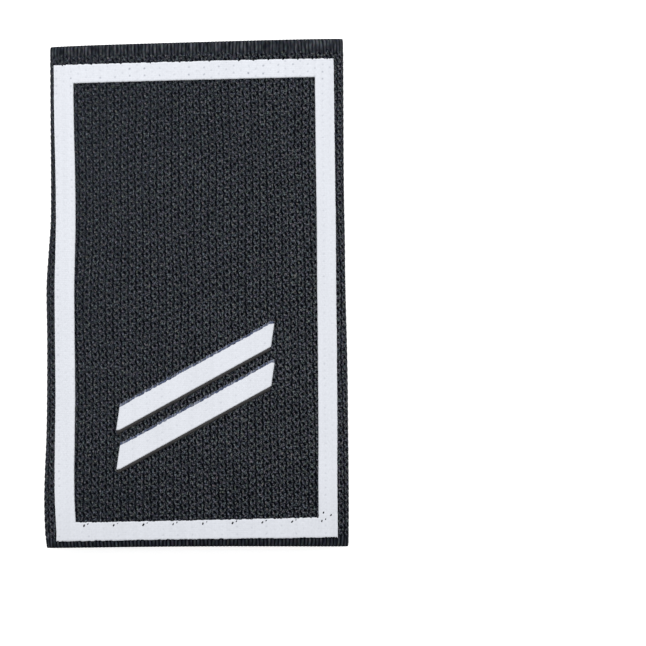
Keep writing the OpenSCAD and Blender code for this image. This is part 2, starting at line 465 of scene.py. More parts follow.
    def covered(self, x, v):
        """How much the white weave covers the black cloth: 1 under it, 0 beside it."""
        depth = np.minimum(self.inside_ring(x, v, 0), -self.inside_ring(x, v, 1))
        span, climb = self.sizes.stripe_span, self.sizes.stripe_climb
        lean, across = self.sizes.stripe_lean, self.sizes.stripe_depth
        for middle in self.stripe_middles():
            up = ((v - middle) * span - x * climb) / (across * span - lean * climb)
            t = (x - up * lean) / span
            inside_stripe = np.minimum((0.5 - np.abs(t)) * span, (0.5 - np.abs(up)) * across)
            depth = np.maximum(depth, inside_stripe)
        return smoothstep(depth / COVER_BLEND + 0.5)


def spot(p, q, centre_across, centre_along, half_width, half_length, turn):
    """A soft oval spot of a loop: 1 in its middle, 0 outside it."""
    dx = (p - centre_across + 0.5) % 1 - 0.5
    dy = (q - centre_along + 0.5) % 1 - 0.5
    a = math.radians(turn)
    u = (dx * math.cos(a) + dy * math.sin(a)) / half_width
    w = (dy * math.cos(a) - dx * math.sin(a)) / half_length
    return smoothstep(1.3 * (1 - np.sqrt(u * u + w * w) / SPOT_REACH))


def loop_height(across, along):
    """Height of the bird's-eye weave, from 0 in a pit to 1 on a crown, at places counted in loops."""
    column = np.floor(across)
    p = across - column
    q = (along + 0.5 * (column % 2)) % 1
    swing = GROOVE_SWING * np.cos(2 * math.pi * q)
    from_groove = np.minimum(np.abs(p + swing), np.abs(p - 1 - swing))
    groove = 1 - smoothstep((from_groove - GROOVE_BED) / (GROOVE_EDGE - GROOVE_BED))
    crown = 0 * groove
    for *shape, level in CROWNS:
        crown = np.maximum(crown, level * spot(p, q, *shape))
    pit = spot(p, q, *PIT)
    by_crown, base = THREAD_HEIGHT
    return (base + by_crown * crown) * (1 - np.maximum(0.8 * groove, pit))


def rib_height(across):
    """Height of the end ribs, of which there are two to a column of loops."""
    from_crown = np.abs((2 * across) % 1 - 0.5) * 2
    return 1 - from_crown ** 3


def make_piece(name, points, faces, corner_uv, material, attributes=None):
    """A smooth mesh object at the origin, with its weave's UV map and its slot's material."""
    mesh = bpy.data.meshes.new(name)
    mesh.from_pydata(points.tolist(), [], faces)
    layer = mesh.uv_layers.new(name="weave")
    layer.data.foreach_set("uv", np.asarray(corner_uv, dtype=np.float32).ravel())
    for title, values in (attributes or {}).items():
        mesh.attributes.new(title, "FLOAT", "POINT").data.foreach_set("value", values)
    mesh.polygons.foreach_set("use_smooth", np.ones(len(faces), dtype=bool))
    mesh.materials.append(material)
    mesh.update()
    piece = bpy.data.objects.new(name, mesh)
    bpy.context.scene.collection.objects.link(piece)
    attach(piece, "root")
    return piece


def uv_of(across, along):
    """UV of a place counted in loops."""
    return np.stack([(across + UV_MIDDLE) / UV_LOOPS, (along + UV_MIDDLE) / UV_LOOPS], -1)


class SleeveMesh:
    """The black tube, row by row: out along the face and the underside, round the upper lip,
    back inside and round the lower lip."""

    LIP_STEPS = 6
    HEM_STEPS = 3
    INNER_ROWS = 44

    def __init__(self):
        self.points = []
        self.faces = []
        self.corners = []
        face = np.arange(-FACE_COLUMNS * FACE_ACROSS, FACE_COLUMNS * FACE_ACROSS) / FACE_ACROSS
        back_steps = (COLUMNS_ROUND - 2 * FACE_COLUMNS) * BACK_ACROSS
        back = FACE_COLUMNS + np.arange(back_steps) / BACK_ACROSS
        self.ring = np.concatenate([face, back])
        self.face_count = len(face) + 1

    def add_row(self, points, across, along):
        """Adds a row of points; the row keeps each one's index, and its place counted in loops."""
        first = sum(len(part) for part in self.points)
        self.points.append(points)
        return {"index": first + np.arange(len(points)), "across": across, "along": along}

    def add_face(self, corners, inner=False):
        """Adds a face from (row, position in the row, across) corners."""
        self.faces.append([int(row["index"][k]) for row, k, _ in corners])
        turn = COLUMNS_ROUND if min(across for _, _, across in corners) >= COLUMNS_ROUND / 2 else 0
        shift = UV_LOOPS / 2 if inner else 0
        for row, _, across in corners:
            self.corners.append((across - turn + shift, row["along"]))

    def join(self, below, above, start=-FACE_COLUMNS, stop=None, odd=None, inner=False):
        """Joins two rows between the places that they share; odd is a face-only row between them."""
        last = COLUMNS_ROUND + self.ring[0]
        lower = list(enumerate(below["across"])) + [(0, last)]
        upper = {round(c * FACE_ACROSS): k for k, c in enumerate(above["across"])}
        upper[round(last * FACE_ACROSS)] = 0
        stop = last if stop is None else stop
        edges = [(k, c) for k, c in lower if start <= c <= stop]
        shared = [i for i, (_, c) in enumerate(edges) if round(c * FACE_ACROSS) in upper]
        above_places = sorted((round(c * FACE_ACROSS), k, c) for k, c in enumerate(above["across"]))
        above_places.append((round(last * FACE_ACROSS), 0, last))
        for a, b in zip(shared, shared[1:]):
            corners = [(below, k, c) for k, c in edges[a:b + 1]]
            low_key, high_key = (round(edges[i][1] * FACE_ACROSS) for i in (a, b))
            between = [(above, k, c) for key, k, c in above_places if low_key <= key <= high_key]
            corners += between[::-1]
            if odd is not None and edges[a][1] == FACE_COLUMNS:
                corners.append((odd, self.face_count - 1, FACE_COLUMNS))
            if odd is not None and edges[b][1] == last:
                corners.insert(2, (odd, 0, last))
            self.add_face(corners, inner)


def sleeve_relief(form, across, along, points, v):
    """How far the outer surface sinks below its crowns, in metres, at places counted in loops."""
    weave = form.weave
    loops = weave.pit_depth * (1 - loop_height(across, along))
    ribs = weave.rib_depth * (1 - rib_height(across))
    growing = weave.upper_hem + HEM_GROWTH * (points[..., 0] / form.sizes.sleeve_width + 0.5)
    hem = np.where(v > 0, growing, weave.lower_hem)
    ribbed = smoothstep((np.abs(v) - form.half_length + hem) / HEM_BLEND + 0.5)
    relief = loops * (1 - ribbed) + ribs * ribbed
    on_face = points[..., 2] > form.fold_height(v)
    under = np.where(on_face, form.covered(points[..., 0], v), 0)
    lift = CROWN_LIFT * (1 - ribbed) * smoothstep(2 * points[..., 2] / form.fold_height(v) - 0.5)
    return (relief - lift) * (1 - under) + COVERED_DEPTH * under


def grid_normals(points):
    """Outward unit normals of a grid of points that closes along its second axis."""
    across = np.roll(points, -1, axis=1) - np.roll(points, 1, axis=1)
    along = np.gradient(points, axis=0)
    normals = np.cross(across, along)
    return normals / np.linalg.norm(normals, axis=-1, keepdims=True)


def build_sleeve(form, material):
    """The black tube as one closed mesh."""
    weave = form.weave
    sleeve = SleeveMesh()
    ring = sleeve.ring
    lip = form.sizes.cloth / 2
    inset = form.half_length - lip
    pitch = weave.loop_along
    top = math.floor((form.half_length - weave.upper_hem) / pitch * FACE_ALONG) / FACE_ALONG
    bottom = math.ceil((weave.lower_hem - form.half_length) / pitch * FACE_ALONG) / FACE_ALONG
    top -= (top - bottom) % (2 / FACE_ALONG)
    woven = np.arange(bottom, top + 0.01, 1 / FACE_ALONG)
    hem = np.arange(sleeve.HEM_STEPS) / sleeve.HEM_STEPS
    low_hem = -inset / pitch + hem * (bottom + inset / pitch)
    high_hem = inset / pitch - hem[::-1] * (inset / pitch - top)
    rows = np.concatenate([low_hem, woven, high_hem])

    across = ring[None, :]
    along = rows[:, None]
    calm = 1 - (along * pitch / inset) ** 8
    sway = weave.wander * calm * form.sway(across / COLUMNS_ROUND, along / COLUMNS_ROUND)
    slip = weave.wander * calm * form.slip(across / COLUMNS_ROUND, along / COLUMNS_ROUND)
    v = (along + slip) * pitch
    angle = np.array([form.angles(row * pitch, ring + sway[j]) for j, row in enumerate(rows)])
    points = form.outer(v, angle)
    on_face = points[..., 2] > form.fold_height(v)
    ripple = np.where(on_face, form.unevenness(points[..., 0], v), 0)
    points[..., 2] += ripple
    normals = grid_normals(points)
    sunk = sleeve_relief(form, across, along, points, v)
    points = points - normals * sunk[..., None]

    face_only = np.zeros(len(rows), dtype=bool)
    face_only[sleeve.HEM_STEPS + 1:len(rows) - sleeve.HEM_STEPS - 1:2] = True
    made = []
    for j, row in enumerate(rows):
        count = sleeve.face_count if face_only[j] else len(ring)
        made.append(sleeve.add_row(points[j, :count], ring[:count], row))
    for j in range(len(rows) - 1):
        sleeve.join(made[j], made[j + 1], -FACE_COLUMNS, FACE_COLUMNS)
        if face_only[j]:
            continue
        odd = made[j + 1] if face_only[j + 1] else None
        sleeve.join(made[j], made[j + 2 if odd else j + 1], FACE_COLUMNS, None, odd)

    ribs = weave.rib_depth * (1 - rib_height(ring))[:, None]
    coarse = np.flatnonzero(np.isclose(ring % 1, 0))

    def turn_lip(end_row, side):
        """Rows round the lip at one end, from the outer row to the inner one. Its corners at the side
        folds are pressed square."""
        end_v = np.full(ring.shape, side * inset)
        outer = form.outer(end_v, angle[end_row])
        inner = form.inner(end_v, angle[end_row])
        squareness = 1 - SQUARE_LIPS * smoothstep(10 * np.abs(np.cos(angle[end_row])) - 9)
        reach = lip + (UPPER_REACH if side > 0 else LOWER_REACH)
        lip_rows = []
        for step in range(1, sleeve.LIP_STEPS + 1):
            turn = math.pi * step / sleeve.LIP_STEPS
            depth = (1 - math.cos(turn)) / 2
            away = np.array([0, side * math.sin(turn), 0])
            place = outer * (1 - depth) + inner * depth
            place[:, 1] += side * reach * max(0, math.sin(turn)) ** squareness
            facing = (normals[end_row] * math.cos(turn) + away) * (1 - 0.7 * math.sin(turn))
            shown = rows[end_row] + side * lip * turn / pitch
            lip_rows.append(sleeve.add_row(place - facing * ribs, ring, shown))
        return lip_rows

    upper = turn_lip(len(rows) - 1, 1)
    lower = turn_lip(0, -1)
    for below, above in zip([made[-1]] + upper, upper):
        sleeve.join(below, above)
    for below, above in zip(lower, [made[0]] + lower):
        sleeve.join(below, above)

    inner_rows = []
    for v_inner in np.linspace(inset, -inset, sleeve.INNER_ROWS)[1:-1]:
        place = form.inner(np.full(len(coarse), v_inner), form.angles(v_inner, ring[coarse]))
        inner_rows.append(sleeve.add_row(place, ring[coarse], v_inner / pitch))
    first = dict(upper[-1], along=inset / pitch)
    last = dict(lower[-1], along=-inset / pitch)
    chain = [first] + inner_rows + [last]
    for below, above in zip(chain, chain[1:]):
        sleeve.join(below, above, inner=True)

    corner_uv = uv_of(*np.array(sleeve.corners).T)
    piece = make_piece("black_sleeve", np.concatenate(sleeve.points), sleeve.faces, corner_uv, material)
    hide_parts("sleeve")


def edge_fall(distance, reach):
    """How far the white weave's top has fallen, as a share, at a distance inside its edge."""
    return 1 - np.sqrt(1 - np.clip(1 - distance / reach, 0, 1) ** 2)


def white_relief(x, v, form):
    """How far the white weave sinks at its tie points and between its threads."""
    across, along = x / form.weave.loop_across, v / form.weave.loop_along
    column = np.floor(across)
    p = across - column - DOT[0]
    q = (along + 0.5 * (column % 2) - DOT[1] + 0.5) % 1 - 0.5
    pit = smoothstep(1 - np.sqrt(p * p + q * q) / DOT_REACH)
    puff = 0.5 - 0.5 * np.cos(2 * math.pi * across * 2)
    return DOT_DEPTH * pit + PUFF_DEPTH * puff


class WhiteMesh:
    """A piece of raised white weave, as rows of points of which the last joins the first."""

    def __init__(self, form):
        self.form = form
        self.points = []
        self.uv = []
        self.marks = {"fray": [], "tie": []}

    def add_row(self, x, v, rise, fray, tie):
        """Adds a row of places on the face, with their lift, their fray and the darkness of their ties."""
        self.points.append(self.form.over_face(x, v, rise))
        self.uv.append(uv_of(x / self.form.weave.loop_across, v / self.form.weave.loop_along))
        self.marks["fray"].append(np.full(x.shape, fray))
        self.marks["tie"].append(np.full(x.shape, tie))

    def weave(self, name, material, rings):
        """Makes the piece. Rows that aren't rings have their two ends closed."""
        points, uv = np.array(self.points), np.array(self.uv)
        rows, count = points.shape[:2]
        faces = []
        corner_uv = []
        for i in range(rows):
            j = (i + 1) % rows
            for k in range(count if rings else count - 1):
                n = (k + 1) % count
                faces.append([i * count + k, i * count + n, j * count + n, j * count + k])
                corner_uv += [uv[i, k], uv[i, n], uv[j, n], uv[j, k]]
        ends = () if rings else ((0, 1), (count - 1, -1))
        for end, order in ends:
            faces.append([i * count + end for i in range(rows)][::order])
            corner_uv += [uv[i, end] for i in range(rows)][::order]
        marks = {mark: np.concatenate(part).astype(np.float32) for mark, part in self.marks.items()}
        return make_piece(name, points.reshape(-1, 3), faces, corner_uv, material, marks)


def ring_of_frame(form, share, steps_across, steps_along, stray):
    """Places of the frame round one ring, a share of the way in from its outer edge, from the lower
    left corner; stray is how far the lower, right, upper and left sides lie further in."""
    from_left, from_right, cross = form.bars(share)
    low, high = form.frame_low(cross), form.frame_high(cross)
    low_left, high_left = (form.frame_left(v, from_left) for v in (low, high))
    low_right, high_right = (form.frame_right(v, from_right) for v in (low, high))
    t = edge_shares(steps_across)
    rising = low + (high - low) * (np.arange(steps_along) / steps_along)
    x = [
        low_left + (low_right - low_left) * t,
        form.frame_right(rising, from_right) - stray[1],
        high_right + (high_left - high_right) * t,
        form.frame_left(rising[::-1] + (high - low) / steps_along, from_left) + stray[3],
    ]
    v = [low + stray[0], rising, high - stray[2], high + low - rising]
    return np.concatenate(x), np.concatenate(v)


def thread_ends(draw, count, threads, size):
    """How far an edge steps in and out as one thread after another ends at it."""
    steps = draw.uniform(-1, 1, threads + 1)
    place = np.linspace(0, threads, count, endpoint=False)
    thread = np.floor(place).astype(int)
    within = place - thread
    bulge = np.sin(math.pi * within) ** 0.5
    ends = smoothstep(np.minimum(within, 1 - within) * 8)
    return size * (steps[thread] * ends + 0.6 * (bulge - 0.6))


def edge_shares(steps):
    """Shares of the way along a cross bar, a little closer together at its ends."""
    even = np.arange(steps) / steps
    return 0.35 * (1 - np.cos(math.pi * even)) / 2 + 0.65 * even


def notches(form, steps):
    """How deep the gaps between the white threads' ends bite into the upper edge, from its right."""
    high = form.frame_high(0)
    left, right = form.frame_left(high, 0), form.frame_right(high, 0)
    x = right + (left - right) * edge_shares(steps)
    past = (x - FIRST_NOTCH) % NOTCH_STEP
    from_notch = np.minimum(past, NOTCH_STEP - past)
    from_middle = np.where(x > NOTCH_MIDDLE, np.abs(past - NOTCH_STEP / 2), NOTCH_STEP)
    return NOTCH_DEPTH * smoothstep(1 - np.minimum(from_notch, from_middle) / NOTCH_HALF_WIDTH)


def build_border(form, material):
    """The white frame as one closed ring of raised weave."""
    sizes = form.sizes
    draw = np.random.default_rng(form.weave.seed + 10)
    step = form.weave.loop_across / WHITE_STEPS
    width = (sizes.left_bar + sizes.right_bar) / 2
    across_count = round(width / step)
    steps_across = round((sizes.sleeve_width - 2 * sizes.side_margin) / step)
    steps_along = round((sizes.sleeve_length - sizes.upper_margin - sizes.lower_margin) / step)
    counts = [steps_across, steps_along] * 2
    outer, inner = (
        [thread_ends(draw, count, round(count / 5), amount * MM) for count, amount in zip(counts, amounts)]
        for amounts in RAGGED
    )
    to_right = edge_shares(steps_across)
    outer[0] += LOWER_TAPER * (to_right - 0.4)
    outer[2] += UPPER_TAPER * (1 - to_right) + notches(form, steps_across)
    profile = [(0, WHITE_ROOT, False)]
    profile += [(i / across_count, sizes.raised, True) for i in range(across_count + 1)]
    profile += [(share, WHITE_ROOT, False) for share in (1, 2 / 3, 1 / 3)]
    mesh = WhiteMesh(form)
    for share, lift, is_top in profile:
        inset = share * width
        near_outer = max(0, 1 - inset / RAGGED_REACH)
        near_inner = max(0, 1 - (width - inset) / RAGGED_REACH)
        stray = [near_outer * a - near_inner * b for a, b in zip(outer, inner)]
        x, v = ring_of_frame(form, share, steps_across, steps_along, stray)
        rise = np.full(x.shape, lift)
        if is_top:
            distance = min(inset, width - inset)
            rise = rise - EDGE_FALL * edge_fall(distance, EDGE_ROUND) - white_relief(x, v, form)
        top_bar = smoothstep((v - form.frame_high(sizes.cross_bar)) / MM + 1)
        mesh.add_row(x, v, rise, 0.0, 0.35 + 0.65 * top_bar * (1.1 + x / sizes.sleeve_width))
    piece = mesh.weave("white_border", material, True)
    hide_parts("border")


def build_stripe(form, material, node, middle):
    """One white stripe as a closed sheet of raised weave, frayed along its upper edge."""
    sizes = form.sizes
    draw = np.random.default_rng(form.weave.seed + 20 + len(node) + ord(node[0]))
    step = form.weave.loop_across / WHITE_STEPS
    count_along = round(sizes.stripe_span / step)
    count_up = round(sizes.stripe_depth / step)
    threads = round(sizes.stripe_span / form.weave.loop_across * 3)
    ragged = thread_ends(draw, count_along + 1, threads, RAGGED_STRIPE)
    place_of = np.linspace(0, threads, count_along + 1)
    thread = np.floor(place_of).astype(int)
    teeth = np.abs(np.sin(math.pi * place_of)) ** 0.7
    lengths = draw.uniform(0.5, 1.1, threads + 1)[thread]
    fringe = FRINGE_ROOT + FRINGE_TEETH * teeth * lengths
    light = FRAY_LIGHT * teeth * draw.uniform(0, 1, threads + 1)[thread] ** 2
    share = np.linspace(-0.5, 0.5, count_along + 1)
    from_end = (0.5 - np.abs(share)) * sizes.stripe_span
    tip = TIP_ROUND * np.clip(1 - from_end / TIP_LENGTH, 0, 1) ** 2
    left_tip, right_tip = np.where(share < 0, tip, 0), np.where(share > 0, tip, 0)
    profile = [(0, WHITE_ROOT, 0)]
    profile += [(sizes.stripe_depth * i / count_up, sizes.raised, 0) for i in range(count_up + 1)]
    profile += [(sizes.stripe_depth, height * sizes.raised, out) for height, out in FRINGE_PROFILE]
    profile += [(sizes.stripe_depth, WHITE_ROOT, 1)]
    profile += [(sizes.stripe_depth * part, WHITE_ROOT, 0) for part in (0.75, 0.5, 0.25)]
    mesh = WhiteMesh(form)
    for place, lift, out in profile:
        up = place / sizes.stripe_depth - 0.5
        x = share * sizes.stripe_span + up * sizes.stripe_lean
        near_low = max(0, 1 - place / RAGGED_REACH)
        v = middle + share * sizes.stripe_climb + up * sizes.stripe_depth + out * fringe
        near_high = max(0, 1 - (sizes.stripe_depth - place) / RAGGED_TOP_REACH)
        v = v + (1.6 * near_high - 0.3 * near_low) * ragged
        v = v + left_tip * (0.5 - up) - right_tip * (up + 0.5)
        rise = np.full(x.shape, lift)
        if lift > 0:
            fall = edge_fall(from_end, END_ROUND)
            if out == 0:
                fall = np.maximum(fall, edge_fall(np.full(x.shape, place), EDGE_ROUND))
                rise = rise - white_relief(x, v, form)
            rise = rise - EDGE_FALL * fall * (lift / sizes.raised)
        mesh.add_row(x, v, rise, 1 - light if out and lift > 0 else 0.0, 0.3)
    piece = mesh.weave("white_" + node, material, False)
    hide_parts(node)


class Net:
    """The node tree of a material or a group, with short ways to add to it."""

    def __init__(self, tree):
        self.tree = tree

    def fill(self, node, inputs):
        """Sets a node's inputs, each to a value or to another node's output."""
        for socket, value in dict(inputs).items():
            if isinstance(value, bpy.types.NodeSocket):
                self.tree.links.new(value, node.inputs[socket])
            else:
                node.inputs[socket].default_value = value

    def add(self, kind, inputs=(), **settings):
        """Adds a node and gives its outputs."""
        node = self.tree.nodes.new("ShaderNode" + kind)
        for name, value in settings.items():
            setattr(node, name, value)
        self.fill(node, inputs)
        return node.outputs

    def group(self, name, make, inputs):
        """Adds the named group, which is made the first time that it is asked for."""
        return self.add("Group", inputs, node_tree=bpy.data.node_groups.get(name) or make(name))

    def math(self, operation, *values):
        return self.add("Math", enumerate(values), operation=operation)[0]

    def times(self, value, factor, plus=None):
        """A value times a factor, plus a third one if there is one."""
        if plus is None:
            return self.math("MULTIPLY", value, factor)
        return self.math("MULTIPLY_ADD", value, factor, plus)

    def wave(self, turns):
        """The cosine of a number of turns."""
        return self.math("COSINE", self.times(turns, 2 * math.pi))

    def step(self, value, low, high, to_low=0.0, to_high=1.0):
        """A smooth step of value between low and high."""
        inputs = enumerate((value, low, high, to_low, to_high))
        return self.add("MapRange", inputs, interpolation_type="SMOOTHSTEP")[0]

    def vector(self, operation, *values):
        return self.add("VectorMath", enumerate(values), operation=operation)["Vector"]

    def split(self, vector):
        """A vector's first two numbers."""
        return self.add("SeparateXYZ", [(0, vector)])[:2]

    def join(self, *values):
        return self.add("CombineXYZ", enumerate(values))[0]

    def noise(self, place, scale, detail=2.0, roughness=0.5, stretch=None):
        """Noise at a place, which is first multiplied by stretch."""
        place = self.vector("MULTIPLY", place, stretch) if stretch else place
        inputs = {"Vector": place, "Scale": scale, "Detail": detail, "Roughness": roughness}
        return self.add("TexNoise", inputs)

    def stray(self, colour, reach):
        """A noise colour as a vector that points up to half of reach to either side."""
        return self.vector("MULTIPLY", self.vector("SUBTRACT", colour, (0.5, 0.5, 0.5)), reach)

    def mark(self, name):
        """A number that the mesh carries at each point."""
        return self.add("Attribute", attribute_name=name, attribute_type="GEOMETRY")["Fac"]

    def mix(self, factor, a, b):
        return self.add("Mix", [(0, factor), (2, a), (3, b)], data_type="FLOAT")[0]

    def mix_colours(self, factor, a, b, blend="MIX"):
        return self.add("Mix", [(0, factor), (6, a), (7, b)], data_type="RGBA", blend_type=blend)[2]

    def shaded(self, colour, shade):
        """A colour multiplied by a shade."""
        return self.mix_colours(1.0, colour, shade, "MULTIPLY")

    def bump(self, height, strength, distance):
        return self.add("Bump", {"Strength": strength, "Distance": distance, "Height": height})[0]


def new_group(name, inputs, **outputs):
    """An empty group; inputs are defaults by name, outputs are names by kind. It comes with its net,
    what is given to it and the node that takes its results."""
    tree = bpy.data.node_groups.new(name, "ShaderNodeTree")
    for title, default in inputs.items():
        kind = "NodeSocketVector" if isinstance(default, tuple) else "NodeSocketFloat"
        tree.interface.new_socket(title, in_out="INPUT", socket_type=kind).default_value = default
    for kind, titles in outputs.items():
        for title in titles:
            tree.interface.new_socket(title, in_out="OUTPUT", socket_type="NodeSocket" + kind)
    return Net(tree), tree.nodes.new("NodeGroupInput").outputs, tree.nodes.new("NodeGroupOutput")


def weave_place_group(name):
    """Turns a UV into a place counted in loops: where it lies in its loop, and which loop that is."""
    net, given, result = new_group(name, {"UV": ORIGIN}, Vector=("Place", "In Loop", "Loop"))
    place = net.vector("MULTIPLY", given["UV"], (UV_LOOPS, UV_LOOPS, 0))
    stray = net.stray(net.noise(place, 1.1, stretch=(1.0, 0.2, 1.0))["Color"], THREAD_STRAY)
    across, along = net.split(net.vector("ADD", place, stray))
    column = net.math("FLOOR", across)
    staggered = net.math("ADD", along, net.times(net.math("MODULO", column, 2.0), 0.5))
    in_loop = net.join(net.math("FRACT", across), net.math("FRACT", staggered))
    loop = net.join(column, net.math("FLOOR", staggered))
    net.fill(result, {"Place": place, "In Loop": in_loop, "Loop": loop})
    return net.tree


def loop_part_group(name):
    """One soft spot of a loop, such as a crown or a pit, with a random number for each loop."""
    inputs = {
        "In Loop": ORIGIN, "Loop": ORIGIN, "Centre": (0.5, 0.5, 0), "Half Size": (0.2, 0.2, 1),
        "Turn": 0, "Seed": 0, "Softness": 0.8,
    }
    net, given, result = new_group(name, inputs, Float=("Mask", "Random"))
    key = net.vector("ADD", given["Loop"], net.join(0, 0, given["Seed"]))
    noise = net.add("TexWhiteNoise", {"Vector": key}, noise_dimensions="3D")
    offset = net.vector("SUBTRACT", given["In Loop"], given["Centre"])
    offset = net.vector("ADD", offset, net.stray(noise["Color"], SPOT_STRAY))
    offset = net.vector("WRAP", offset, (9.0, 0.5, 1.0), (-9.0, -0.5, -1.0))
    inputs = {"Vector": offset, "Angle": net.times(given["Turn"], -1.0)}
    turned = net.add("VectorRotate", inputs, rotation_type="Z_AXIS")[0]
    scaled = net.vector("DIVIDE", turned, given["Half Size"])
    distance = net.add("VectorMath", [(0, scaled)], operation="LENGTH")["Value"]
    inner = net.math("SUBTRACT", SPOT_REACH, given["Softness"])
    net.fill(result, {"Mask": net.step(distance, SPOT_REACH, inner), "Random": noise["Value"]})
    return net.tree


def weave_groove_group(name):
    """The grooves that swing between the columns of loops, deeper in some places than in others."""
    net, given, result = new_group(name, {"Place": ORIGIN, "In Loop": ORIGIN}, Float=("Mask",))
    across, along = net.split(given["In Loop"])
    swing = net.times(net.wave(along), GROOVE_SWING)
    left = net.math("ABSOLUTE", net.math("ADD", across, swing))
    right = net.math("ABSOLUTE", net.math("SUBTRACT", across, net.math("ADD", swing, 1.0)))
    bed = net.step(net.math("MINIMUM", left, right), GROOVE_EDGE, GROOVE_BED)
    depth = net.step(net.noise(given["Place"], 2.2, 1.0, stretch=(1.0, 0.5, 1.0))[0], *GROOVE_NOISE)
    on_right = net.math("GREATER_THAN", across, 0.5)
    from_deepest = net.times(on_right, 0.5, net.math("SUBTRACT", along, GROOVE_DEEPEST))
    depth = net.times(depth, net.times(net.wave(from_deepest), *GROOVE_WAVE))
    net.fill(result, {"Mask": net.times(bed, depth)})
    return net.tree


def fibre_group(name):
    """Fine fibre of a thread and the slow unevenness of the cloth."""
    inputs = {"Place": ORIGIN, "Fineness": WHITE_FINENESS}
    numbers = ("Fibre", "Strand", "Streaks", "Mottle")
    net, given, result = new_group(name, inputs, Float=numbers, Color=("Tint",))
    place = given["Place"]
    tint = net.vector("MULTIPLY", net.noise(place, 2.4, 1.0)["Color"], (0.7, 0.5, 0.7))
    net.fill(result, {
        "Fibre": net.noise(place, given["Fineness"], 2.0, 0.65, (1.0, 0.7, 1.0))[0],
        "Strand": net.noise(place, 1.0, stretch=(3.0, 0.7, 1.0))[0],
        "Tint": net.vector("ADD", tint, (0.65, 0.75, 0.65)),
        "Streaks": net.noise(place, 1.0, stretch=(1.3, 0.05, 1.0))[0],
        "Mottle": net.noise(place, 0.16, 3.0)[0],
    })
    return net.tree


def new_material(name):
    """A material with its net and its Principled shader."""
    material = bpy.data.materials.new(name)
    material.use_nodes = True
    return material, Net(material.node_tree), material.node_tree.nodes["Principled BSDF"]


def woven_material(name, fineness):
    """A new material with each point's place in the weave and the fibre of its thread."""
    material, net, shader = new_material(name)
    place = net.group("Weave Place", weave_place_group, {"UV": net.add("UVMap", uv_map="weave")[0]})
    fibre = net.group("Thread Fibre", fibre_group, {"Place": place["Place"], "Fineness": fineness})
    return material, net, shader, place, fibre


def loop_part(net, place, shape, seed, softness=0.8):
    """A spot of each loop, of a shape such as PIT's."""
    across, along, half_width, half_length, turn = shape
    return net.group("Loop Part", loop_part_group, {
        "In Loop": place["In Loop"], "Loop": place["Loop"], "Centre": (across, along, 0),
        "Half Size": (half_width, half_length, 1), "Turn": math.radians(turn), "Seed": seed,
        "Softness": softness,
    })


def opaque(colour):
    """A colour with full alpha."""
    return (*colour, 1.0)


